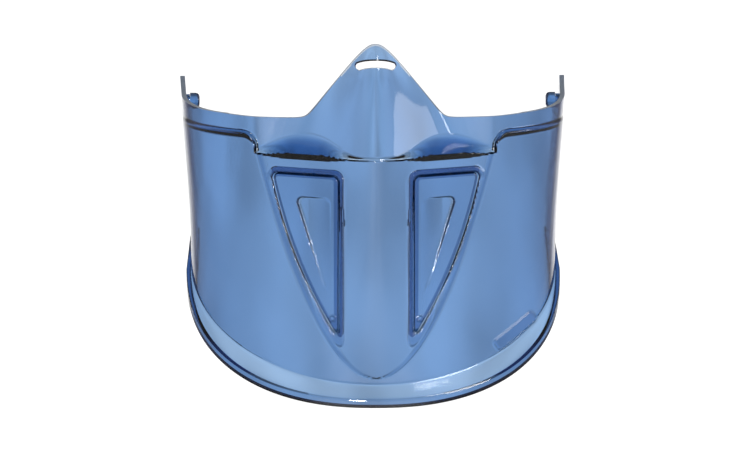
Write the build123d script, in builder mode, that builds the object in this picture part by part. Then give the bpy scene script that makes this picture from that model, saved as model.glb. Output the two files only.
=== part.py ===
"""Lower face visor that clips under a pair of safety goggles.

The visor is one thin moulded wall with two let-in window panels and two snap-in studs.
X is across the face, with the wearer's left at +X. The front faces -Y and +Z is up.
The origin is the bottom centre of the bounding box.
Depths are measured back from the nose tip, which is the foremost point.
"""

from build123d import *
from math import asin, copysign, cos, degrees, exp, hypot, radians, sin, sqrt
import os

os.makedirs("parts", exist_ok=True)

# ---- Driving dimensions, in millimetres and degrees ----
overall_depth = 106.0
wall = 2.2

# Wrap: an elliptical front running into nearly straight wings.
waist_half_width = 82.9
waist_height = 74.0
wing_flare = 0.082
flare_blend = 15.0
wrap_front = 10.0
wrap_reach = 72.0

# Beak: a raised wedge inside a parabola that comes to its point at the chin.
beak_half_width = 54.0
beak_top = 113.0
beak_point = 12.5
beak_round = 10.0
beak_step = 0.8
point_relief = 12.0
wedge_margin = 8.0
chin_setback = 9.2

# Upper band: cheeks, nose and upper wings, stepped in from the wrap. The step fades along each wing.
joggle_step = 3.0
joggle_height = 123.0
joggle_corner = 7.0
wing_step = 0.4
cheek_depth = 28.5
cheek_blend = 3.0
nose_top = 163.0
nose_base_spread = 24.0
nose_narrowing = 10.0
nose_narrowing_curve = 9.0
nose_lean = 0.384
nose_curl = 0.029
nose_curl_start = 148.0
ridge_setback = 0.5

# Upper edge, seen from the front and then from the side.
cheek_edge_height = 129.0
temple_half_width = 74.0
temple_edge_height = 130.2
nose_outline_peak = 170.5
nose_outline_foot = 31.4
nose_crown_radius = 11.4
nose_foot_radius = 14.0
wing_edge_start = 40.0
wing_tip_height = 138.5

# Rim: a flared flange with a turned-down lip, in a plane that rises to the rear.
rim_slope = 32.0
rim_half_width = 85.3
rim_front = 3.5
rim_fullness = 2.3
lip_height = 3.0
flare_height = 4.6
flare_tuck = 0.3
inner_drop_share = 0.5

# Hook slot through the top of the nose.
slot_height = 155.0
slot_width = 18.0
slot_opening = 3.0
slot_arc_radius = 18.8

# D-shaped window panels, measured on the +X side.
window_inner = 17.0
window_outer = 47.2
window_top = 105.6
window_foot = 30.5
window_bulge = (36.5, 69.0)
window_corner = 3.4
window_apex_radius = 2.0
window_gap = 0.1
face_gap = 0.02
flange_overlap = 2.0
flange_inside = 1.8
flange_thickness = 1.4
plug_thickness = 2.5
dish_inner = 20.5
dish_outer = 37.2
dish_top = 95.5
dish_foot = 43.5
dish_corner = 2.2
dish_drop = 1.3
ring_place = (19.9, 40.0)
ring_outer_radius = 1.8
ring_inner_radius = 0.9
ring_proud = 0.35

# Studs, which turn in blind collars on the inner faces of the wings.
stud_height = 128.5
stud_depth = 95.0
collar_radius = 3.0
collar_inner_face = 83.5
stud_head_radius = 3.65
stud_head_length = 4.4
stud_dome_radius = 2.0
stud_flats = 7.0
shank_radius = 1.8
shank_end = 85.9
bead_radius = 2.1
bead_length = 0.8
bead_setback = 0.4
running_clearance = 0.05
thrust_gap = 0.1

# Blank raised pad for a marking, low on the wearer's left cheek.
pad_centre = (63.6, 30.5)
pad_size = (23.0, 7.0)
pad_angle = 33.0
pad_corner = 2.5
pad_proud = 0.4

# ---- Derived values ----
half_depth = overall_depth / 2
wrap_centre = wrap_front + wrap_reach
beyond_rear = overall_depth + 8.0
sky = 200.0
side_clear = 110.0
rim_tilt = radians(rim_slope)
slot_half_angle = degrees(asin((slot_width - slot_opening) / 2 / slot_arc_radius))

# Heights of the lofted sections. The upper band leans back, so its level sections are set in a little more.
wrap_levels = (-6.0, 45.0, 80.0, 105.0, 128.0)
wedge_levels = (-6.0, 20.0, 45.0, 70.0, 95.0, 118.0)
upper_levels = (beak_top - wall, beak_top, 119.0, 127.0, 135.0, 143.0, 151.0, 158.0, 165.0)
lean_allowance = 1.05


def to_y(depth):
    """Frame Y of a point this far behind the nose tip."""
    return depth - half_depth


rim_plane = Plane(
    origin=(0, to_y(rim_front), 0),
    x_dir=(1, 0, 0),
    z_dir=(0, -sin(rim_tilt), cos(rim_tilt)),
)


def half_width(height):
    """Half the width over the wrap: parallel below the waist and flared above it."""
    rise = height - waist_height
    return waist_half_width + wing_flare * (rise + hypot(rise, flare_blend)) / 2


def wrap_depth(across, height):
    """Depth of the wrap's outer surface on its elliptical front."""
    share = min(1.0, abs(across) / half_width(height))
    return wrap_centre - wrap_reach * sqrt(1 - share * share)


def beak_edge(height):
    """Half the width of the parabola that bounds the beak."""
    return beak_half_width * sqrt((height - beak_point) / (beak_top - beak_point))


def keel_depth(height):
    """Depth of the beak's centre line, which leans back to the chin."""
    return chin_setback * (beak_top - height) / (beak_top - beak_point)


def beak_depth(across, height):
    """Depth of the beak's outer surface: a wedge with a rounded keel."""
    station = max(height, beak_point + point_relief)
    edge = beak_edge(station)
    fall = wrap_depth(edge, station) - beak_step - keel_depth(station)
    slope = fall / (hypot(edge, beak_round) - beak_round)
    return keel_depth(height) + slope * (hypot(across, beak_round) - beak_round)


def ridge_depth(height):
    """Depth of the nose ridge, which leans back and then curls back at the top."""
    rise = max(0.0, height - beak_top)
    curl = max(0.0, height - nose_curl_start)
    return ridge_setback + nose_lean * rise + nose_curl * curl * curl


def nose_spread(height):
    """Width of the nose's bell-shaped cross-section."""
    share = (height - beak_top) / (nose_top - beak_top)
    return nose_base_spread - nose_narrowing * share - nose_narrowing_curve * share * share


def upper_depth(across, height):
    """Depth of the upper band's outer surface: cheeks, wings and the nose in front of them."""
    span = half_width(height) - wing_step
    share = min(1.0, abs(across) / span)
    wing = wrap_centre - (wrap_reach - joggle_step) * sqrt(1 - share * share)
    cheek = (wing + cheek_depth + hypot(wing - cheek_depth, cheek_blend)) / 2
    bell = exp(-((across / nose_spread(height)) ** 2))
    return cheek - (cheek_depth - ridge_depth(height)) * bell


# ---- Filled forms: the shell is the outer form less the same form set in by the wall ----
def wrap_section(height, inset, rear):
    """One level of the wrap: an elliptical front closed by a straight rear edge."""
    across = half_width(height) - inset
    with BuildSketch(Plane.XY.offset(height)) as section:
        with BuildLine():
            EllipticalCenterArc((0, to_y(wrap_centre)), across, wrap_reach - inset, 180, arc_size=180)
            Polyline(
                (across, to_y(wrap_centre)),
                (across, to_y(rear)),
                (-across, to_y(rear)),
                (-across, to_y(wrap_centre)),
            )
        make_face()
    return section.sketch


def wrap_form(inset, rear):
    """Cheeks and wings up to the joggle, and up to the ledge between the beak corners."""
    with BuildPart() as form:
        loft([wrap_section(height, inset, rear) for height in wrap_levels])
        with BuildSketch(Plane.XZ) as above:
            with BuildLine():
                Polyline(
                    (-side_clear, joggle_height - inset),
                    (-beak_half_width - inset, joggle_height - inset),
                    (-beak_half_width - inset, beak_top - inset),
                    (beak_half_width + inset, beak_top - inset),
                    (beak_half_width + inset, joggle_height - inset),
                    (side_clear, joggle_height - inset),
                    (side_clear, sky),
                    (-side_clear, sky),
                    close=True,
                )
            make_face()
            middle = above.vertices().filter_by_position(Axis.X, 10 - side_clear, side_clear - 10)
            corners = middle.filter_by_position(Axis.Y, joggle_height - inset - 1, sky)
            fillet(corners, joggle_corner - inset)
        extrude(amount=side_clear, both=True, mode=Mode.SUBTRACT)
    return form.part


def wedge_form(inset, rear):
    """The beak's wedge, wider than the parabola that later bounds it."""
    reach = beak_half_width + wedge_margin
    sections = []
    for height in wedge_levels:
        stations = [reach * step / 6 for step in range(-6, 7)]
        front = [set_in(beak_depth, x, height, inset) for x in stations]
        with BuildSketch(Plane.XY.offset(height)) as section:
            with BuildLine():
                Spline(*front)
                Polyline(front[-1], (reach, to_y(rear)), (-reach, to_y(rear)), front[0])
            make_face()
        sections.append(section.sketch)
    with BuildPart() as form:
        loft(sections)
    return form.part


def set_in(surface, across, height, inset):
    """A point of a level's front curve, moved in along that curve's own normal."""
    nudge = 0.01
    rise = surface(across + nudge, height) - surface(across - nudge, height)
    slope = rise / (2 * nudge)
    length = hypot(1.0, slope)
    return (across - inset * slope / length, to_y(surface(across, height)) + inset / length)


def beak_form(inset, rear):
    """The wedge inside the parabola, and below the ledge."""
    top = beak_top - inset
    point = beak_point + inset
    reach = (beak_half_width - inset) * sqrt((top - point) / (beak_top - point))
    with BuildPart() as form:
        add(wedge_form(inset, rear))
        with BuildSketch(Plane.XZ):
            with BuildLine():
                Bezier((-reach, top), (0, 2 * point - top), (reach, top))
                Line((reach, top), (-reach, top))
            make_face()
        extrude(amount=side_clear, both=True, mode=Mode.INTERSECT)
    return form.part


def upper_section(height, inset, rear):
    """One level of the upper band: the front curve by its formula, then straight wings."""
    span = half_width(height) - wing_step
    turns = range(-17, 18)
    stations = [span * sin(radians(5 * turn)) for turn in turns]
    front = [set_in(upper_depth, x, height, inset) for x in stations]
    edge = span - inset
    front = [(-edge, to_y(wrap_centre))] + front + [(edge, to_y(wrap_centre))]
    with BuildSketch(Plane.XY.offset(height)) as section:
        with BuildLine():
            Spline(*front, tangents=[(0, -1), (0, 1)])
            Polyline(front[-1], (edge, to_y(rear)), (-edge, to_y(rear)), front[0])
        make_face()
    return section.sketch


def upper_form(inset, rear):
    """Nose, cheek band and the upper part of the wings."""
    with BuildPart() as form:
        loft([upper_section(height, inset * lean_allowance, rear) for height in upper_levels])
    return form.part


def rim_section(lift, across, front, rear, taper, fullness):
    """One level of the flange, parallel to the rim plane: an ellipse at a fullness of 2, squarer above it."""
    here = rim_front - lift * sin(rim_tilt)
    middle = (wrap_centre - here) / cos(rim_tilt)
    reach = (wrap_centre - front) / cos(rim_tilt)
    end = (rear - here) / cos(rim_tilt)
    power = 2 / fullness
    front_curve = [(-across, middle)]
    for turn in range(-17, 18):
        side = sin(radians(5 * turn))
        ahead = cos(radians(5 * turn))
        front_curve.append((copysign(across * abs(side) ** power, side), middle - reach * ahead**power))
    front_curve.append((across, middle))
    with BuildSketch(rim_plane.offset(lift)) as section:
        with BuildLine():
            Spline(*front_curve, tangents=[(0, -1), (0, 1)])
            Polyline((across, middle), (across - taper, end), (taper - across, end), (-across, middle))
        make_face()
    return section.sketch


def rim_form(inset, rear):
    """Flange and lip: an upright lip, then a flare that runs up into the wall."""
    taper = rim_half_width - half_width(0)
    wide = rim_half_width - inset
    narrow = half_width(0) - flare_tuck - inset
    front = rim_front + inset
    low = -1.0 if inset > 0 else 0.0
    lip = lip_height - inner_drop_share * inset
    top = flare_height - inner_drop_share * inset
    with BuildPart() as form:
        loft(
            [
                rim_section(low, wide, front, rear, taper, rim_fullness),
                rim_section(lip, wide, front, rear, taper, rim_fullness),
            ]
        )
        loft(
            [
                rim_section(lip, wide, front, rear, taper, rim_fullness),
                rim_section(top, narrow, wrap_front + flare_tuck + inset, rear, 0.0, 2),
            ]
        )
    return form.part


def filled_form(inset, rear):
    """The visor's whole outline as a filled body, set in by an even amount."""
    with BuildPart() as form:
        add(wrap_form(inset, rear))
        add(beak_form(inset, rear))
        add(rim_form(inset, rear))
        add(upper_form(inset, rear))
    return form.part


# ---- Cutters ----
def upper_edge_cutter():
    """Everything above the upper edge: the nose outline from the front, the wings from the side."""
    with BuildPart() as cutter:
        with BuildSketch(Plane.XZ) as above:
            with BuildLine():
                Polyline(
                    (-temple_half_width, temple_edge_height),
                    (-nose_outline_foot, cheek_edge_height),
                    (0, nose_outline_peak),
                    (nose_outline_foot, cheek_edge_height),
                    (temple_half_width, temple_edge_height),
                    (temple_half_width, sky),
                    (-temple_half_width, sky),
                    close=True,
                )
            make_face()
            feet = above.vertices().filter_by_position(Axis.Y, cheek_edge_height - 1, temple_edge_height - 1)
            fillet(feet, nose_foot_radius)
            peak = above.vertices().filter_by_position(Axis.Y, nose_top, sky - 1)
            fillet(peak, nose_crown_radius)
        extrude(amount=side_clear, both=True)
        with BuildSketch(Plane.YZ):
            with BuildLine():
                Spline(
                    (to_y(wing_edge_start), temple_edge_height),
                    (to_y(overall_depth - 20), temple_edge_height + 3),
                    (to_y(overall_depth), wing_tip_height),
                    (to_y(beyond_rear), wing_tip_height + 3),
                    tangents=[(1, 0), (1, 0.4)],
                )
                Polyline(
                    (to_y(beyond_rear), wing_tip_height + 3),
                    (to_y(beyond_rear), sky),
                    (to_y(wing_edge_start), sky),
                    (to_y(wing_edge_start), temple_edge_height),
                )
            make_face()
        extrude(amount=side_clear, both=True)
    return cutter.part


def window_outline(grow, shrink):
    """The D shape, grown past its top and inner side, then shrunk all round."""
    inner = window_inner - grow
    top = window_top + grow
    with BuildSketch(Plane.XZ) as outline:
        with BuildLine():
            ThreePointArc((inner, window_foot - grow), window_bulge, (window_outer, top))
            Polyline((window_outer, top), (inner, top), (inner, window_foot - grow))
        make_face()
        fillet(outline.vertices().group_by(Axis.Y)[-1], window_corner)
        fillet(outline.vertices().sort_by(Axis.Y)[0], window_apex_radius)
        if shrink:
            offset(amount=-shrink)
    return outline.sketch


def window_prism(grow, shrink):
    """The D shape run through the whole depth."""
    with BuildPart() as prism:
        extrude(window_outline(grow, shrink), amount=side_clear, both=True)
    return prism.part


def beak_skin(outer_inset, inner_inset):
    """The part of the wedge between two depths below its outer surface."""
    with BuildPart() as skin:
        add(wedge_form(outer_inset, overall_depth))
        add(wedge_form(inner_inset, beyond_rear), mode=Mode.SUBTRACT)
    return skin.part


def surface_point(across, height, drop):
    """A point this far behind the beak's outer surface."""
    return Vector(across, to_y(beak_depth(across, height) + drop), height)


def dish_floor_plane():
    """The dish floor: flush at its foot and deepest at its outer top corner. It faces the front."""
    foot = surface_point(dish_inner, dish_foot, 0)
    inner_top = surface_point(dish_inner, dish_top, dish_drop / 2)
    outer_top = surface_point(dish_outer, dish_top, dish_drop)
    normal = (inner_top - foot).cross(outer_top - foot)
    if normal.Y > 0:
        normal = -normal
    return Plane(origin=foot, x_dir=outer_top - foot, z_dir=normal)


def dish_prism():
    """The dish outline run through the whole depth."""
    with BuildPart() as prism:
        with BuildSketch(Plane.XZ) as outline:
            with BuildLine():
                Polyline(
                    (dish_inner, dish_foot),
                    (dish_outer, dish_top),
                    (dish_inner, dish_top),
                    close=True,
                )
            make_face()
            fillet(outline.vertices().group_by(Axis.Y)[-1], dish_corner)
        extrude(amount=side_clear, both=True)
    return prism.part


# ---- Left window panel: a plug in the opening, a flange ring behind the wall, and the dish ----
floor_plane = dish_floor_plane()
with BuildPart() as dish_pocket:
    add(dish_prism())
    split(bisect_by=floor_plane, keep=Keep.TOP)
with BuildPart() as dish_web:
    add(dish_prism())
    split(bisect_by=floor_plane, keep=Keep.BOTTOM)
    split(bisect_by=floor_plane.offset(-wall), keep=Keep.TOP)
    add(wedge_form(0, overall_depth), mode=Mode.INTERSECT)
with BuildPart() as panel_flange:
    add(beak_skin(wall + face_gap, wall + flange_thickness))
    add(window_prism(flange_overlap, window_gap), mode=Mode.INTERSECT)
    add(window_prism(0, flange_inside), mode=Mode.SUBTRACT)
with BuildPart() as left_window_panel:
    add(beak_skin(0, plug_thickness))
    add(window_prism(0, window_gap), mode=Mode.INTERSECT)
    add(panel_flange.part)
    add(dish_pocket.part, mode=Mode.SUBTRACT)
    add(dish_web.part)
    ring_y = to_y(beak_depth(*ring_place)) - ring_proud
    with BuildSketch(Plane.XZ.offset(-ring_y)):
        with Locations(ring_place):
            Circle(ring_outer_radius)
            Circle(ring_inner_radius, mode=Mode.SUBTRACT)
    extrude(amount=-wall / 2)
left_window_panel.part.label = "left_window_panel"
export_step(left_window_panel.part, "parts/left_window_panel.step")

with BuildPart() as right_window_panel:
    mirror(left_window_panel.part, about=Plane.YZ)
right_window_panel.part.label = "right_window_panel"
export_step(right_window_panel.part, "parts/right_window_panel.step")

# ---- Visor shell ----
collar_spot = (to_y(stud_depth), stud_height)
bead_start = shank_end - bead_setback - bead_length
with BuildPart() as stud_collar:
    with BuildSketch(Plane.YZ.offset(collar_inner_face)):
        with Locations(collar_spot):
            Circle(collar_radius)
    extrude(amount=shank_end - collar_inner_face)
with BuildPart() as stud_bore:
    with BuildSketch(Plane.YZ.offset(collar_inner_face - 1)):
        with Locations(collar_spot):
            Circle(shank_radius + running_clearance)
    extrude(amount=shank_end + thrust_gap - collar_inner_face + 1)
    with BuildSketch(Plane.YZ.offset(bead_start - thrust_gap)):
        with Locations(collar_spot):
            Circle(bead_radius + running_clearance)
    extrude(amount=bead_length + 2 * thrust_gap)
with BuildPart() as marking_pad:
    add(wrap_form(-pad_proud, overall_depth))
    add(wrap_form(wall / 2, beyond_rear), mode=Mode.SUBTRACT)
    with BuildSketch(Plane.XZ):
        with Locations(Location(pad_centre, pad_angle)):
            RectangleRounded(*pad_size, pad_corner)
    extrude(amount=side_clear, both=True, mode=Mode.INTERSECT)

slot_span = Edge.make_circle(
    slot_arc_radius,
    start_angle=90 - slot_half_angle,
    end_angle=90 + slot_half_angle,
).moved(Location((0, slot_height - slot_arc_radius)))
outer_form = filled_form(0.0, overall_depth)
inner_form = filled_form(wall, beyond_rear)
with BuildPart() as visor_shell:
    add(outer_form)
    split(bisect_by=rim_plane, keep=Keep.TOP)
    add(inner_form, mode=Mode.SUBTRACT)
    add(upper_edge_cutter(), mode=Mode.SUBTRACT)
    add(window_prism(0, 0), mode=Mode.SUBTRACT)
    mirror(window_prism(0, 0), about=Plane.YZ, mode=Mode.SUBTRACT)
    with BuildSketch(Plane.XZ):
        SlotArc(slot_span, slot_opening)
    extrude(amount=side_clear, both=True, mode=Mode.SUBTRACT)
    add(marking_pad.part)
    add(stud_collar.part)
    mirror(stud_collar.part, about=Plane.YZ)
    add(stud_bore.part, mode=Mode.SUBTRACT)
    mirror(stud_bore.part, about=Plane.YZ, mode=Mode.SUBTRACT)
visor_shell.part.label = "visor_shell"
export_step(visor_shell.part, "parts/visor_shell.step")

# ---- Side studs: a domed head with two flats, and a shank with a snap bead ----
with BuildPart() as left_side_stud:
    with BuildSketch(Plane.YZ.offset(collar_inner_face - thrust_gap)):
        with Locations(collar_spot):
            Circle(stud_head_radius)
            Rectangle(stud_flats, 3 * stud_head_radius, mode=Mode.INTERSECT)
    extrude(amount=-stud_head_length)
    fillet(left_side_stud.faces().sort_by(Axis.X)[0].edges(), stud_dome_radius)
    with BuildSketch(Plane.YZ.offset(collar_inner_face - thrust_gap)):
        with Locations(collar_spot):
            Circle(shank_radius)
    extrude(amount=shank_end + thrust_gap - collar_inner_face)
    with BuildSketch(Plane.YZ.offset(bead_start)):
        with Locations(collar_spot):
            Circle(bead_radius)
    extrude(amount=bead_length)
left_side_stud.part.label = "left_side_stud"
export_step(left_side_stud.part, "parts/left_side_stud.step")

with BuildPart() as right_side_stud:
    mirror(left_side_stud.part, about=Plane.YZ)
right_side_stud.part.label = "right_side_stud"
export_step(right_side_stud.part, "parts/right_side_stud.step")
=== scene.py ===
from math import cos, pi, radians, sin

import bmesh
import bpy
import numpy as np
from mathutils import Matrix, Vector


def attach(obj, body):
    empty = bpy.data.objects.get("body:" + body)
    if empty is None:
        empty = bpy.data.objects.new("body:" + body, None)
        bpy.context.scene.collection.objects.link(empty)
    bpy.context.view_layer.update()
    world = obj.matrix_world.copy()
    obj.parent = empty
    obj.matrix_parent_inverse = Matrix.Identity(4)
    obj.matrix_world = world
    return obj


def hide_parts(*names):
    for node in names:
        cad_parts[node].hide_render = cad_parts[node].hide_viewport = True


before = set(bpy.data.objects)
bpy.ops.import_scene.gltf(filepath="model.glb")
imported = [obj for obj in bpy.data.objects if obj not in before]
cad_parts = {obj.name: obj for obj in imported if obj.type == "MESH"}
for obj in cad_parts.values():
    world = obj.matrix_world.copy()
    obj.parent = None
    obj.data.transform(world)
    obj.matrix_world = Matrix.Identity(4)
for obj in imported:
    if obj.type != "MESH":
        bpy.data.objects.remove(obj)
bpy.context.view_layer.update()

# Every length is in millimetres unless its name says otherwise. Depths run back from the foremost
# point, heights run up from the foot of the rim, and distances across run from the middle.

# ---- The wrapped wall ----
overall_depth = 106.0
wall = 2.2
waist_half_width = 82.9
waist_height = 74.0
wing_flare = 0.082
flare_blend = 15.0
wrap_front = 10.0
wrap_reach = 72.0
wrap_centre = wrap_front + wrap_reach

# ---- The beak ----
beak_half_width = 54.0
beak_top = 113.0
beak_point = 12.5
beak_extent = 1.6
beak_round = 10.0
beak_step = 0.8
point_relief = 12.0
chin_setback = 9.2

# ---- The joggle across the wings, and the ledges over the beak ----
joggle_step = 3.0
wing_step = 0.4
joggle_height = 123.0
joggle_corner = 7.0
joggle_width = 1.8
ledge_least = 1.8
ledge_rise = 0.9
ledge_power = 2.8
ledge_deepest = 7.8
ledge_arch = 1.8
ledge_under = 1.32

# ---- The cheeks and the nose ----
cheek_depth = 28.5
cheek_blend = 3.0
nose_top = 163.0
nose_base_spread = 24.0
nose_least_spread = 4.0
nose_narrowing = 10.0
nose_narrowing_curve = 9.0
nose_lean = 0.384
nose_curl = 0.029
nose_curl_start = 148.0
ridge_setback = 0.5

# ---- The upper edge ----
cheek_edge_height = 129.0
cheek_edge_slope = 0.0282
nose_outline_foot = 31.4
nose_outline_peak = 170.5
nose_outline_slope = 1.3217
nose_foot_blend = 3.4
nose_crown_blend = 5.67
temple_edge_height = 130.2
wing_edge_start = 40.0
wing_edge_curve = 2.2
wing_tip_height = 138.5

# ---- The flared rim ----
rim_slope = radians(32.0)
rim_half_width = 85.3
rim_front = 3.5
rim_fullness = 2.3
ellipse_fullness = 2.0
lip_height = 3.0
flare_height = 4.6
flare_tuck = 0.3

# ---- The windows: a D outline, with a groove and a bead round it ----
window_inner = 17.0
window_top = 105.6
window_arc = ((17.0, 30.5), (36.5, 69.0), (47.2, 105.6))
window_corner = 3.0
window_gap = 0.015
window_heart = (25.0, 84.0)
groove_width = 0.8
groove_drop = 1.4
bead_reach = 2.9
bead_edge = 0.7
bead_proud = 0.55
bead_fade_start = 12.0
bead_fade = 6.0
bead_top_fade = 4.0

# ---- The let-in panels ----
plug_thickness = 2.5
flange_overlap = 2.0
flange_inside = 1.8
flange_thickness = 1.4
face_gap = 0.02
dish_corners = ((20.5, 43.5), (37.2, 95.5), (20.5, 95.5))
dish_drop = 1.3
dish_behind = 0.8
dish_edge = 0.9
dish_corner = 4.0
dish_shallow = 0.35
dish_side_slope = 1.6
ring_place = (19.9, 40.0)
ring_radius = 1.35
ring_band = 0.6
ring_proud = 0.35

# ---- The hook slot ----
slot_height = 155.0
slot_width = 18.0
slot_opening = 3.0
slot_arc_radius = 18.8

# ---- The stud collars ----
stud_height = 128.5
stud_depth = 95.0
collar_radius = 3.0
collar_inner_face = 83.5
shank_end = 85.9
bore_radius = 1.85
bore_overrun = 1.0
bore_clearance = 0.1
snap_groove_radius = 2.15
snap_groove_start = 1.3
snap_groove_end = 0.3

# ---- The blank marking pad ----
pad_centre = (63.6, 30.5)
pad_size = (23.0, 7.0)
pad_angle = radians(33.0)
pad_corner = 2.5
pad_proud = 0.4
pad_edge = 1.5

# ---- Mesh density, cutters and units. A span is its start, its end and its number of points ----
front_columns = 420
wing_columns = 30
lip_rows = 5
flare_rows = 8
wall_rows = 190
step_rows = 56
edge_rows = 60
dense_from = 109.0
dense_to = 127.0
panel_across_span = (15.5, 49.0, 130)
panel_height_span = (28.0, 107.5, 300)
flange_across_span = (13.5, 50.0, 120)
flange_height_span = (25.0, 109.5, 240)
outline_rays = 1200
outline_reach = 90.0
outline_halvings = 40
outline_points = 480
slot_arc_points = 48
slot_end_points = 18
collar_segments = 72
cutter_front = -20.0
cutter_rear = 60.0
sharp_angle = radians(38.0)
shortest = 1e-9
millimetre = 0.001


# ---- Shapes shared by the pieces ----
def place(across, depth, height):
    """Frame coordinates, in metres, of points given in the object's own measures."""
    return np.stack([across, depth - overall_depth / 2, height], axis=-1) * millimetre


def smooth(share):
    """A soft step from 0 to 1."""
    share = np.clip(share, 0.0, 1.0)
    return share * share * (3.0 - 2.0 * share)


def rounded(sides, corner):
    """Signed distance to a shape bounded by these sides, negative inside, with its corners rounded."""
    outside = np.sqrt(sum(np.maximum(side + corner, 0.0) ** 2 for side in sides))
    return outside + np.minimum(np.max(sides, axis=0) + corner, 0.0) - corner


def half_width(height):
    """Half the width of the wrapped wall."""
    rise = height - waist_height
    return waist_half_width + wing_flare * (rise + np.hypot(rise, flare_blend)) / 2


def wrap_depth(across, height):
    """The elliptical front of the wrapped wall."""
    share = np.minimum(1.0, np.abs(across) / half_width(height))
    return wrap_centre - wrap_reach * np.sqrt(1.0 - share * share)


def beak_edge(height):
    """Half the width of the beak, a parabola from its point."""
    share = np.clip((height - beak_point) / (beak_top - beak_point), 0.0, beak_extent)
    return beak_half_width * np.sqrt(share)


def keel_depth(height):
    """The beak's middle line, which leans back to the chin."""
    return chin_setback * (beak_top - height) / (beak_top - beak_point)


def beak_depth(across, height):
    """The wedge with its rounded keel."""
    station = np.maximum(height, beak_point + point_relief)
    edge = beak_edge(station)
    fall = wrap_depth(edge, station) - beak_step - keel_depth(station)
    slope = fall / (np.hypot(edge, beak_round) - beak_round)
    return keel_depth(height) + slope * (np.hypot(across, beak_round) - beak_round)


def lower_depth(across, height, soft):
    """The wrap, with the beak standing out of it inside its parabola."""
    wrap = wrap_depth(across, height)
    inside = smooth((beak_edge(height) - np.abs(across)) / soft)
    return wrap + inside * (np.minimum(beak_depth(across, height), wrap) - wrap)


def upper_depth(across, height):
    """Cheeks, upper wings and the nose in front of them."""
    span = half_width(height) - wing_step
    share = np.minimum(1.0, np.abs(across) / span)
    wing = wrap_centre - (wrap_reach - joggle_step) * np.sqrt(1.0 - share * share)
    cheek = (wing + cheek_depth + np.hypot(wing - cheek_depth, cheek_blend)) / 2
    rise = np.maximum(0.0, height - beak_top)
    curl = np.maximum(0.0, height - nose_curl_start)
    ridge = ridge_setback + nose_lean * rise + nose_curl * curl * curl
    share = (height - beak_top) / (nose_top - beak_top)
    spread = nose_base_spread - nose_narrowing * share - nose_narrowing_curve * share * share
    spread = np.maximum(spread, nose_least_spread)
    return cheek - (cheek_depth - ridge) * np.exp(-((across / spread) ** 2))


def upper_share(across, height, inset):
    """0 on the lower wall and 1 on the upper band: the ledge over the beak and the joggle beyond it."""
    distance = rounded((beak_half_width - np.abs(across), height + inset - joggle_height), joggle_corner)
    step = upper_depth(across, beak_top) - lower_depth(across, beak_top, beak_step)
    gap = np.maximum(step - joggle_step, 0.0)
    foot = beak_top + (ledge_arch - inset * ledge_under) * smooth(gap / ledge_deepest)
    ledge = np.clip((height - foot) / (ledge_least + ledge_rise * gap), 0.0, 1.0)
    return smooth(distance / joggle_width + 0.5) * (1.0 - (1.0 - ledge) ** ledge_power)


def top_edge(across, depth):
    """Height of the upper edge: the nose outline from the front, and the wings from the side."""
    cheek = cheek_edge_height + cheek_edge_slope * (np.abs(across) - nose_outline_foot)
    nose = nose_outline_peak - nose_outline_slope * np.hypot(across, nose_crown_blend)
    front = (cheek + nose + np.hypot(cheek - nose, nose_foot_blend)) / 2
    share = np.clip((depth - wing_edge_start) / (overall_depth - wing_edge_start), 0.0, 1.0)
    wing = temple_edge_height + (wing_tip_height - temple_edge_height) * share**wing_edge_curve
    return np.where(depth > wing_edge_start, wing, front)


def window_distance(across, height, grow=0.0):
    """Signed distance to the D outline, negative inside it. It grows past its top, inner side and foot."""
    across = np.abs(across)
    (ax, az), (bx, bz), (cx, cz) = window_arc
    ax, az, cz = ax - grow, az - grow, cz + grow
    turn = 2.0 * (ax * (bz - cz) + bx * (cz - az) + cx * (az - bz))
    a2, b2, c2 = ax * ax + az * az, bx * bx + bz * bz, cx * cx + cz * cz
    centre_x = (a2 * (bz - cz) + b2 * (cz - az) + c2 * (az - bz)) / turn
    centre_z = (a2 * (cx - bx) + b2 * (ax - cx) + c2 * (bx - ax)) / turn
    radius = np.hypot(ax - centre_x, az - centre_z)
    sides = (
        window_inner - grow - across,
        height - window_top - grow,
        np.hypot(across - centre_x, height - centre_z) - radius,
    )
    return rounded(sides, window_corner)


def pad_distance(across, height):
    """Signed distance to the marking pad's rounded rectangle, on the wearer's left only."""
    x = across - pad_centre[0]
    z = height - pad_centre[1]
    lengthwise = np.abs(x * cos(pad_angle) + z * sin(pad_angle)) - pad_size[0] / 2
    crosswise = np.abs(z * cos(pad_angle) - x * sin(pad_angle)) - pad_size[1] / 2
    return rounded((lengthwise, crosswise), pad_corner)


def set_in(across, depth, inset):
    """Moves each level's curve inward along its own normal. Columns run along the last axis."""
    dx = np.gradient(across, axis=-1)
    dd = np.gradient(depth, axis=-1)
    length = np.maximum(np.hypot(dx, dd), shortest)
    return across - inset * dd / length, depth + inset * dx / length


# ---- Columns: an angle round the elliptical front, then a share along each straight wing ----
turns = np.linspace(-pi / 2, pi / 2, front_columns)
along_wing = np.linspace(0.0, 1.0, wing_columns + 1)[1:]
column_turn = np.concatenate([np.full(wing_columns, -pi / 2), turns, np.full(wing_columns, pi / 2)])
column_wing = np.concatenate([along_wing[::-1], np.zeros(front_columns), along_wing])


def column_curve(span, reach, fullness=ellipse_fullness):
    """Across and depth of an ellipse, or a squarer curve, that runs on into straight wings."""
    power = 2.0 / fullness
    side = np.sin(column_turn)
    across = span * np.sign(side) * np.abs(side) ** power
    ahead = np.maximum(np.cos(column_turn), 0.0) ** power
    depth = wrap_centre - reach * ahead + column_wing * (overall_depth - wrap_centre)
    return across, depth


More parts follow.
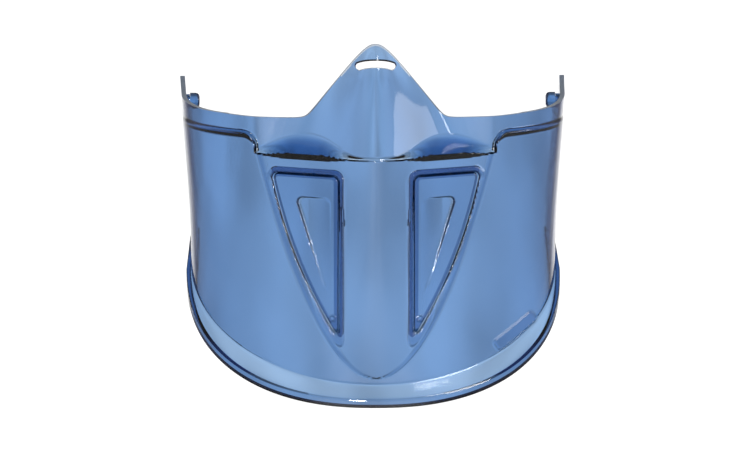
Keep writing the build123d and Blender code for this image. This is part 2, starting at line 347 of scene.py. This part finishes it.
def wall_sheet(height, inset):
    """The wall's surface at these heights, set in by an even amount."""
    span = half_width(height)
    across, depth = column_curve(span, wrap_reach)
    on_front = column_wing == 0
    lower = lower_depth(across, height, beak_step + inset)
    lower_x, lower_d = set_in(across, np.where(on_front, lower, depth), inset)
    across, depth = column_curve(span - wing_step, wrap_reach - joggle_step)
    upper = upper_depth(across, np.maximum(height, beak_top - wall))
    upper_x, upper_d = set_in(across, np.where(on_front, upper, depth), inset)
    share = upper_share(across, height, inset)
    across = lower_x + share * (upper_x - lower_x)
    depth = lower_d + share * (upper_d - lower_d)
    depth = np.where(column_wing == 1.0, overall_depth, np.minimum(depth, overall_depth))
    return across, depth


def rim_rows(inset):
    """The lip and the flare, as rows parallel to the rim plane."""
    rows = []
    taper = rim_half_width - half_width(0.0)
    wide = rim_half_width - inset
    narrow = half_width(0.0) - flare_tuck - inset
    lip_top = lip_height - inset / 2
    flare_top = flare_height - inset / 2
    for step in range(lip_rows + flare_rows):
        if step < lip_rows:
            lift = lip_top * step / (lip_rows - 1)
            drawn = 0.0
        else:
            drawn = (step - lip_rows + 1) / flare_rows
            lift = lip_top + (flare_top - lip_top) * drawn
            drawn = float(smooth(drawn))
        front = rim_front + inset + drawn * (wrap_front + flare_tuck - rim_front)
        span = wide + drawn * (narrow - wide)
        fullness = rim_fullness + drawn * (ellipse_fullness - rim_fullness)
        across, depth = column_curve(span, wrap_centre - front, fullness)
        across = across - np.sign(across) * column_wing * taper * (1.0 - drawn)
        height = (lift + sin(rim_slope) * (depth - rim_front)) / cos(rim_slope)
        rows.append((across, depth, height))
    return rows


def shell_sheet(inset):
    """The whole surface as a grid of points, from the lip's foot to the upper edge."""
    rows = rim_rows(inset)
    start = rows[-1][2]
    span = half_width(cheek_edge_height) - wing_step - inset
    finish = top_edge(*column_curve(span, wrap_reach - joggle_step - inset))
    for step in range(1, wall_rows + 1):
        height = start + (dense_from - start) * step / wall_rows
        rows.append((*wall_sheet(height, inset), height))
    for step in range(1, step_rows + 1):
        height = np.full_like(start, dense_from + (dense_to - dense_from) * step / step_rows)
        rows.append((*wall_sheet(height, inset), height))
    for step in range(1, edge_rows + 1):
        height = dense_to + (finish - dense_to) * step / edge_rows
        rows.append((*wall_sheet(height, inset), height))
    return [np.stack(parts) for parts in zip(*rows)]


def outer_detail(across, height):
    """How far the outer surface stands proud: rounded window edges, the bead round them, and the pad."""
    distance = window_distance(across, height)
    groove = -groove_drop * (1.0 - np.clip(distance / groove_width, 0.0, 1.0)) ** 2
    on_bead = smooth((bead_reach - distance) / bead_edge)
    inner_side = smooth((window_inner + bead_fade_start - np.abs(across)) / bead_fade)
    top_side = smooth((height - window_top + bead_top_fade) / bead_top_fade)
    bead = bead_proud * on_bead * np.clip(inner_side + top_side, 0.0, 1.0)
    pad = pad_proud * smooth(-pad_distance(across, height) / pad_edge)
    return np.where(distance < 0.0, -groove_drop, groove) + bead + pad


# ---- Closed meshes and what is done with them ----
def link(name, mesh):
    """Puts a mesh into the scene as an object."""
    piece = bpy.data.objects.new(name, mesh)
    bpy.context.scene.collection.objects.link(piece)
    return piece


def outward(piece):
    """Turns a closed mesh's faces outward."""
    work = bmesh.new()
    work.from_mesh(piece.data)
    if work.calc_volume(signed=True) < 0:
        bmesh.ops.reverse_faces(work, faces=work.faces)
    work.to_mesh(piece.data)
    work.free()
    return piece


def quads(a, b, c, d):
    """Faces from four arrays of their corners."""
    return np.stack([a.ravel(), b.ravel(), c.ravel(), d.ravel()], axis=-1)


def closed_grid(name, outer, inner):
    """A closed mesh from an outer and an inner grid of points that share their rows and columns."""
    rows, columns = outer.shape[:2]
    points = np.concatenate([outer.reshape(-1, 3), inner.reshape(-1, 3)])
    index = np.arange(rows * columns).reshape(rows, columns)
    back = index + rows * columns
    faces = [
        quads(index[:-1, :-1], index[:-1, 1:], index[1:, 1:], index[1:, :-1]),
        quads(back[:-1, :-1], back[1:, :-1], back[1:, 1:], back[:-1, 1:]),
        quads(index[0, :-1], back[0, :-1], back[0, 1:], index[0, 1:]),
        quads(index[-1, :-1], index[-1, 1:], back[-1, 1:], back[-1, :-1]),
        quads(index[:-1, 0], index[1:, 0], back[1:, 0], back[:-1, 0]),
        quads(index[:-1, -1], back[:-1, -1], back[1:, -1], index[1:, -1]),
    ]
    mesh = bpy.data.meshes.new(name)
    mesh.from_pydata(points.tolist(), [], np.concatenate(faces).tolist())
    return outward(link(name, mesh))


def cutter(outline):
    """A closed prism along the depth, right through the wall, from an outline of (across, height) points."""
    count = len(outline)
    near = place(outline[:, 0], np.full(count, cutter_front), outline[:, 1])
    far = place(outline[:, 0], np.full(count, cutter_rear), outline[:, 1])
    sides = [[i, (i + 1) % count, count + (i + 1) % count, count + i] for i in range(count)]
    caps = [list(range(count))[::-1], list(range(count, 2 * count))]
    mesh = bpy.data.meshes.new("cutter")
    mesh.from_pydata(np.concatenate([near, far]).tolist(), [], sides + caps)
    return outward(link("cutter", mesh))


def cylinder(side, radius, start, end):
    """A closed cylinder across the object, on the stud's axis."""
    work = bmesh.new()
    bmesh.ops.create_cone(
        work, cap_ends=True, segments=collar_segments, radius1=radius, radius2=radius, depth=end - start
    )
    mesh = bpy.data.meshes.new("cylinder")
    work.to_mesh(mesh)
    work.free()
    points = np.array([v.co for v in mesh.vertices])
    across = side * (points[:, 2] + (start + end) / 2)
    moved = place(across, points[:, 0] + stud_depth, points[:, 1] + stud_height)
    mesh.vertices.foreach_set("co", moved.ravel())
    mesh.update()
    return outward(link("cylinder", mesh))


def combine(piece, tool, operation):
    """Joins, cuts or keeps what two closed meshes share, and removes the tool."""
    change = piece.modifiers.new("change", "BOOLEAN")
    change.operation = operation
    change.solver = "MANIFOLD"
    change.object = tool
    bpy.context.view_layer.update()
    result = bpy.data.meshes.new_from_object(piece.evaluated_get(bpy.context.evaluated_depsgraph_get()))
    piece.modifiers.clear()
    piece.data = result
    bpy.data.objects.remove(tool)


# ---- The shell ----
def window_outline(side, shrink, grow=0.0):
    """The D outline, found along rays from a point inside it and then spaced evenly."""
    angle = np.linspace(0.0, 2.0 * pi, outline_rays, endpoint=False)
    near, far = np.zeros_like(angle), np.full_like(angle, outline_reach)
    for _ in range(outline_halvings):
        middle = (near + far) / 2
        x = window_heart[0] + middle * np.cos(angle)
        z = window_heart[1] + middle * np.sin(angle)
        outside = (window_distance(np.maximum(x, 0.0), z, grow) > -shrink) | (x <= 0.0)
        near = np.where(outside, near, middle)
        far = np.where(outside, middle, far)
    x = window_heart[0] + near * np.cos(angle)
    z = window_heart[1] + near * np.sin(angle)
    x, z = np.append(x, x[0]), np.append(z, z[0])
    walked = np.concatenate([[0.0], np.cumsum(np.hypot(np.diff(x), np.diff(z)))])
    even = np.linspace(0.0, walked[-1], outline_points, endpoint=False)
    return np.stack([side * np.interp(even, walked, x), np.interp(even, walked, z)], axis=-1)


def slot_outline():
    """The hook slot: an arched slot with round ends."""
    radius = slot_opening / 2
    spread = np.arcsin((slot_width / 2 - radius) / slot_arc_radius)
    centre = slot_height - slot_arc_radius
    outline = []
    for side, first_turn in ((1.0, spread), (-1.0, pi - spread)):
        reach = slot_arc_radius + side * radius
        for turn in np.linspace(-side * spread, side * spread, slot_arc_points):
            outline.append((reach * np.sin(turn), centre + reach * np.cos(turn)))
        end_x = side * slot_arc_radius * np.sin(spread)
        end_z = centre + slot_arc_radius * np.cos(spread)
        for turn in first_turn + np.linspace(0.0, pi, slot_end_points)[1:-1]:
            outline.append((end_x + radius * np.sin(turn), end_z + radius * np.cos(turn)))
    return np.array(outline)


def build_shell():
    """The main moulding, cut for the windows and the slot, with its stud collars."""
    across, depth, height = shell_sheet(0.0)
    across, depth = set_in(across, depth, -outer_detail(across, height))
    shell = closed_grid("shell_moulding", place(across, depth, height), place(*shell_sheet(wall)))
    collar = (collar_radius, collar_inner_face, shank_end)
    bore = (bore_radius, collar_inner_face - bore_overrun, shank_end + bore_clearance)
    snap_groove = (snap_groove_radius, shank_end - snap_groove_start, shank_end - snap_groove_end)
    for side in (-1.0, 1.0):
        combine(shell, cutter(window_outline(side, 0.0)), "DIFFERENCE")
        combine(shell, cylinder(side, *collar), "UNION")
        combine(shell, cylinder(side, *bore), "DIFFERENCE")
        combine(shell, cylinder(side, *snap_groove), "DIFFERENCE")
    combine(shell, cutter(slot_outline()), "DIFFERENCE")
    return shell


# ---- The panels ----
def dish_depth(across, height):
    """How far the dish lies below the panel's face: flush at its foot, deepest at its outer top corner."""
    sides = []
    for (ax, az), (bx, bz) in zip(dish_corners, dish_corners[1:] + dish_corners[:1]):
        length = np.hypot(bx - ax, bz - az)
        sides.append(((bz - az) * (across - ax) - (bx - ax) * (height - az)) / length)
    inside = -rounded(sides, dish_corner)
    (fx, fz), (ox, oz), _ = dish_corners
    rise = np.clip((height - fz) / (oz - fz), 0.0, 1.0)
    reach = np.clip((across - fx) / (ox - fx), 0.0, 1.0)
    deepening = dish_shallow + (1.0 - dish_shallow) * rise
    return dish_drop * deepening * smooth(dish_side_slope * reach) * smooth(inside / dish_edge)


def ring_height(across, height):
    """A small moulded ring near the panel's foot."""
    radius = np.hypot(across - ring_place[0], height - ring_place[1])
    return ring_proud * smooth((ring_band - np.abs(radius - ring_radius)) / ring_band)


def beak_slab(name, side, across, height, front, rear):
    """A closed slab between two surfaces set in from the beak's."""
    face = lower_depth(across, height, beak_step)
    near_x, near_d = set_in(across, face, front)
    far_x, far_d = set_in(across, face, rear)
    return closed_grid(name, place(side * near_x, near_d, height), place(side * far_x, far_d, height))


def build_panel(name, side):
    """A let-in panel: the beak's surface inside the D, with a rounded edge, the dish and a ring flange."""
    x, z = np.meshgrid(np.linspace(*panel_across_span), np.linspace(*panel_height_span))
    edge = np.clip(1.0 + (window_distance(x, z) + window_gap) / groove_width, 0.0, 1.0)
    drop = groove_drop * edge**2 + dish_depth(x, z) - ring_height(x, z)
    panel = beak_slab(name, side, x, z, drop, plug_thickness + dish_depth(x, z) * dish_behind)
    combine(panel, cutter(window_outline(side, window_gap)), "INTERSECT")
    x, z = np.meshgrid(np.linspace(*flange_across_span), np.linspace(*flange_height_span))
    flange = beak_slab("flange", side, x, z, wall + face_gap, wall + flange_thickness)
    combine(flange, cutter(window_outline(side, window_gap, flange_overlap)), "INTERSECT")
    combine(flange, cutter(window_outline(side, flange_inside)), "DIFFERENCE")
    combine(panel, flange, "UNION")
    return panel


# ---- Clear blue plastic ----
white = (1.0, 1.0, 1.0, 1.0)
plastic_ior = 1.58
plastic_roughness = (0.015, 0.05)
tint_colour = (0.120, 0.410, 0.688, 1.0)
tint_density = 1030.0
stud_density = 420.0
ripple_scale = 55.0
ripple_height_m = 0.00012
ripple_detail = 1.0
gloss_detail = 3.0
scuff_scale = 900.0
scuff_height_m = 0.000006
scuff_detail = 4.0

# ---- Trimmed edges ----
edge_clarity = 0.7
edge_roughness = 0.3
edge_grain = 260.0
edge_detail = 3.0
edge_tones = ((0.24, 0.31, 0.42, 1.0), (0.44, 0.52, 0.64, 1.0))
top_edge_reach = 0.4
top_edge_facing = 0.35
rear_edge_reach = 0.05
rear_edge_facing = 0.9


def add_node(tree, kind, values=None):
    """A node with some of its inputs set."""
    node = tree.nodes.new(kind)
    for name, value in (values or {}).items():
        node.inputs[name].default_value = value
    return node


def node_setup(name):
    """An empty node material with its tree and its output node."""
    material = bpy.data.materials.new(name)
    material.use_nodes = True
    tree = material.node_tree
    tree.nodes.clear()
    return material, tree, add_node(tree, "ShaderNodeOutputMaterial")


def noise(tree, source, scale, detail):
    """A noise texture on the given coordinates."""
    texture = add_node(tree, "ShaderNodeTexNoise", {"Scale": scale, "Detail": detail})
    tree.links.new(source, texture.inputs["Vector"])
    return texture.outputs["Fac"]


def clear_plastic(name, density):
    """Tinted moulded plastic: slow ripples from the mould, fine scuffs, and colour from its thickness."""
    material, tree, output = node_setup(name)
    coordinates = add_node(tree, "ShaderNodeTexCoord").outputs["Object"]
    finish = {"Base Color": white, "Transmission Weight": 1.0, "IOR": plastic_ior}
    surface = add_node(tree, "ShaderNodeBsdfPrincipled", finish)

    low, high = plastic_roughness
    gloss = add_node(tree, "ShaderNodeMapRange", {"To Min": low, "To Max": high})
    tree.links.new(noise(tree, coordinates, ripple_scale, gloss_detail), gloss.inputs["Value"])
    tree.links.new(gloss.outputs["Result"], surface.inputs["Roughness"])

    ripples = add_node(tree, "ShaderNodeBump", {"Distance": ripple_height_m})
    tree.links.new(noise(tree, coordinates, ripple_scale, ripple_detail), ripples.inputs["Height"])
    scuffs = add_node(tree, "ShaderNodeBump", {"Distance": scuff_height_m})
    tree.links.new(noise(tree, coordinates, scuff_scale, scuff_detail), scuffs.inputs["Height"])
    tree.links.new(ripples.outputs["Normal"], scuffs.inputs["Normal"])
    tree.links.new(scuffs.outputs["Normal"], surface.inputs["Normal"])

    tint = add_node(tree, "ShaderNodeVolumeAbsorption", {"Color": tint_colour, "Density": density})
    tree.links.new(surface.outputs["BSDF"], output.inputs["Surface"])
    tree.links.new(tint.outputs["Volume"], output.inputs["Volume"])
    return material


def trimmed_edge(name):
    """The faintly frosted finish of a trimmed edge, with fine grain along it."""
    material, tree, output = node_setup(name)
    coordinates = add_node(tree, "ShaderNodeTexCoord").outputs["Object"]
    finish = {"IOR": plastic_ior, "Transmission Weight": edge_clarity, "Roughness": edge_roughness}
    surface = add_node(tree, "ShaderNodeBsdfPrincipled", finish)
    tones = add_node(tree, "ShaderNodeValToRGB")
    for stop, tone in zip(tones.color_ramp.elements, edge_tones):
        stop.color = tone
    tree.links.new(noise(tree, coordinates, edge_grain, edge_detail), tones.inputs["Fac"])
    tree.links.new(tones.outputs["Color"], surface.inputs["Base Color"])
    tree.links.new(surface.outputs["BSDF"], output.inputs["Surface"])
    return material


def frost_edges(piece, edge):
    """Gives the shell's trimmed upper and rear edges their own finish."""
    mesh = piece.data
    mesh.materials.append(edge)
    centres = np.empty(len(mesh.polygons) * 3)
    normals = np.empty(len(mesh.polygons) * 3)
    mesh.polygons.foreach_get("center", centres)
    mesh.polygons.foreach_get("normal", normals)
    centres = centres.reshape(-1, 3) / millimetre
    normals = normals.reshape(-1, 3)
    depth = centres[:, 1] + overall_depth / 2
    near_top = np.abs(centres[:, 2] - top_edge(centres[:, 0], depth)) < top_edge_reach
    top = near_top & (normals[:, 2] > top_edge_facing)
    rear = (depth > overall_depth - rear_edge_reach) & (normals[:, 1] > rear_edge_facing)
    mesh.polygons.foreach_set("material_index", (top | rear).astype(np.int32))


def finish_piece(piece, node, material):
    """Smooth shading with true edges, and the piece's place in the frame."""
    piece.data.materials.clear()
    piece.data.materials.append(material)
    piece.data.shade_smooth()
    piece.data.set_sharp_from_angle(angle=sharp_angle)
    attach(piece, "visor")
    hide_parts(node)


def dress(node, material):
    """Gives a CAD node its finish."""
    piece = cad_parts[node]
    piece.data.materials.clear()
    piece.data.materials.append(material)


# ---- The object ----
shell_plastic = clear_plastic("clear_blue_shell", tint_density)
panel_plastic = clear_plastic("clear_blue_panel", tint_density)
stud_plastic = clear_plastic("clear_blue_stud", stud_density)

shell = build_shell()
finish_piece(shell, "visor_shell", shell_plastic)
frost_edges(shell, trimmed_edge("trimmed_edge"))
for name, side in (("left", 1.0), ("right", -1.0)):
    panel = build_panel(name + "_let_in_panel", side)
    finish_piece(panel, name + "_window_panel", panel_plastic)
    dress(name + "_side_stud", stud_plastic)

# ---- Camera, in metres: nearly level and almost straight on, through a long lens ----
camera_elevation = radians(8.0)
camera_azimuth = radians(-1.1)
camera_distance = 8.0
camera_target = Vector((0.0003, 0.0, 0.0768))
camera_lens_mm = 844.0
camera_sensor_mm = 36.0

# ---- Surroundings: bright along the camera's line of sight, softer to its sides, dim above and below ----
ahead_range = (0.82, 0.97)
side_range = (0.5, 0.85)
world_bright = 1.0
world_side = 0.7
world_dim = 0.24
floor_size_m = 14.0
floor_colour = (0.30, 0.30, 0.30, 1.0)
floor_roughness = 0.9
floor_glow = 1.0
# Painted shade: the floor's glow, as seen through the plastic, falls to this level away from the line of
# sight.
painted_floor_shade = 0.15
# Painted light and shade: light and dark streaks in the floor's glow, seen only through the plastic.
painted_streak_tones = (0.74, 1.28)
painted_streak_noise_range = (0.35, 0.65)
painted_streak_scale = (9.0, 2.4, 1.0)
painted_streak_detail = 1.5
transmission_bounces = 24
total_bounces = 32

# ---- Lamps: name, place and aim in metres, width and height in metres, watts ----
lamps = (
    ("key", (0.5, -0.5, 1.6), (0.0, 0.0, 0.08), (0.35, 0.6), 7.0),
    ("nose_flank", (1.5, -0.25, 0.4), (0.0, -0.03, 0.14), (1.2, 0.6), 6.0),
    ("right_strip", (1.0, -1.3, 0.35), (0.0, 0.0, 0.08), (0.07, 0.9), 2.0),
    ("glint", (-0.12, -1.7, 0.5), (0.0, -0.05, 0.1), (0.16, 0.6), 14.0),
)


def along(tree, axis, span, low, high):
    """How closely a ray runs along one of the camera's own axes, mapped from low to high."""
    turned = add_node(tree, "ShaderNodeVectorTransform")
    turned.vector_type = "VECTOR"
    turned.convert_from = "WORLD"
    turned.convert_to = "CAMERA"
    direction = add_node(tree, "ShaderNodeNewGeometry").outputs["Incoming"]
    tree.links.new(direction, turned.inputs["Vector"])
    parts = add_node(tree, "ShaderNodeSeparateXYZ")
    tree.links.new(turned.outputs["Vector"], parts.inputs["Vector"])
    closeness = add_node(tree, "ShaderNodeMath")
    closeness.operation = "ABSOLUTE"
    tree.links.new(parts.outputs[axis], closeness.inputs[0])
    limits = {"From Min": span[0], "From Max": span[1], "To Min": low, "To Max": high}
    ramp = add_node(tree, "ShaderNodeMapRange", limits)
    ramp.interpolation_type = "SMOOTHSTEP"
    tree.links.new(closeness.outputs["Value"], ramp.inputs["Value"])
    return ramp.outputs["Result"]


def make_world():
    """A studio that is bright along the line of sight, softer to its sides, and dim above and below."""
    world = bpy.data.worlds.new("studio")
    world.use_nodes = True
    tree = world.node_tree
    tree.nodes.clear()
    output = add_node(tree, "ShaderNodeOutputWorld")
    light = add_node(tree, "ShaderNodeBackground")
    brighter = add_node(tree, "ShaderNodeMath")
    brighter.operation = "MAXIMUM"
    tree.links.new(along(tree, "Z", ahead_range, world_dim, world_bright), brighter.inputs[0])
    tree.links.new(along(tree, "X", side_range, world_dim, world_side), brighter.inputs[1])
    tree.links.new(brighter.outputs["Value"], light.inputs["Strength"])
    tree.links.new(light.outputs["Background"], output.inputs["Surface"])
    bpy.context.scene.world = world


def painted_floor_streaks(tree):
    """Painted light and shade in the floor's glow: soft light and dark streaks across the view, which fade
    to a painted shade away from the line of sight.
    """
    window = add_node(tree, "ShaderNodeTexCoord").outputs["Window"]
    spread = add_node(tree, "ShaderNodeVectorMath")
    spread.operation = "MULTIPLY"
    spread.inputs[1].default_value = painted_streak_scale
    tree.links.new(window, spread.inputs[0])
    limits = {"From Min": painted_streak_noise_range[0], "From Max": painted_streak_noise_range[1]}
    tones = {"To Min": painted_streak_tones[0], "To Max": painted_streak_tones[1]}
    painted_streaks = add_node(tree, "ShaderNodeMapRange", {**limits, **tones})
    tree.links.new(noise(tree, spread.outputs["Vector"], 1.0, painted_streak_detail), painted_streaks.inputs["Value"])
    faded = add_node(tree, "ShaderNodeMath")
    faded.operation = "MULTIPLY"
    tree.links.new(painted_streaks.outputs["Result"], faded.inputs[0])
    # Painted shade: the floor's glow fades away from the camera's line of sight.
    tree.links.new(along(tree, "Z", ahead_range, painted_floor_shade, 1.0), faded.inputs[1])
    return faded.outputs["Value"]


def make_floor():
    """A pale floor, plain white to the camera. Other rays, as through the plastic, see painted light and
    shade in its glow: light and dark streaks, dimmer away from the line of sight.
    """
    mesh = bpy.data.meshes.new("floor")
    sheet = bmesh.new()
    bmesh.ops.create_grid(sheet, x_segments=1, y_segments=1, size=floor_size_m / 2)
    sheet.to_mesh(mesh)
    sheet.free()
    floor = link("floor", mesh)
    material, tree, output = node_setup("pale_floor")
    finish = {"Base Color": floor_colour, "Roughness": floor_roughness, "Emission Color": white}
    surface = add_node(tree, "ShaderNodeBsdfPrincipled", finish)
    choice = add_node(tree, "ShaderNodeMix")
    choice.data_type = "FLOAT"
    tree.links.new(add_node(tree, "ShaderNodeLightPath").outputs["Is Camera Ray"], choice.inputs["Factor"])
    tree.links.new(painted_floor_streaks(tree), choice.inputs["A"])
    choice.inputs["B"].default_value = floor_glow
    tree.links.new(choice.outputs["Result"], surface.inputs["Emission Strength"])
    tree.links.new(surface.outputs["BSDF"], output.inputs["Surface"])
    mesh.materials.append(material)


def make_lamp(name, position, aim, size, power):
    """A rectangular soft light aimed at a point. It shows in reflections but not through the plastic."""
    data = bpy.data.lights.new(name, "AREA")
    data.shape = "RECTANGLE"
    data.size, data.size_y = size
    data.energy = power
    lamp = bpy.data.objects.new(name, data)
    lamp.location = position
    lamp.visible_transmission = False
    lamp.rotation_euler = (Vector(aim) - Vector(position)).to_track_quat("-Z", "Y").to_euler()
    bpy.context.scene.collection.objects.link(lamp)


def make_camera():
    """The camera at the viewing angle."""
    data = bpy.data.cameras.new("camera")
    data.lens = camera_lens_mm
    data.sensor_width = camera_sensor_mm
    camera = bpy.data.objects.new("camera", data)
    level = cos(camera_elevation)
    back = Vector((level * sin(camera_azimuth), -level * cos(camera_azimuth), sin(camera_elevation)))
    camera.location = camera_target + camera_distance * back
    camera.rotation_euler = (-back).to_track_quat("-Z", "Y").to_euler()
    bpy.context.scene.collection.objects.link(camera)
    bpy.context.scene.camera = camera


make_world()
make_floor()
for lamp in lamps:
    make_lamp(*lamp)
make_camera()
bpy.context.scene.view_settings.view_transform = "Standard"
bpy.context.scene.cycles.transmission_bounces = transmission_bounces
bpy.context.scene.cycles.max_bounces = total_bounces

bpy.context.view_layer.update()
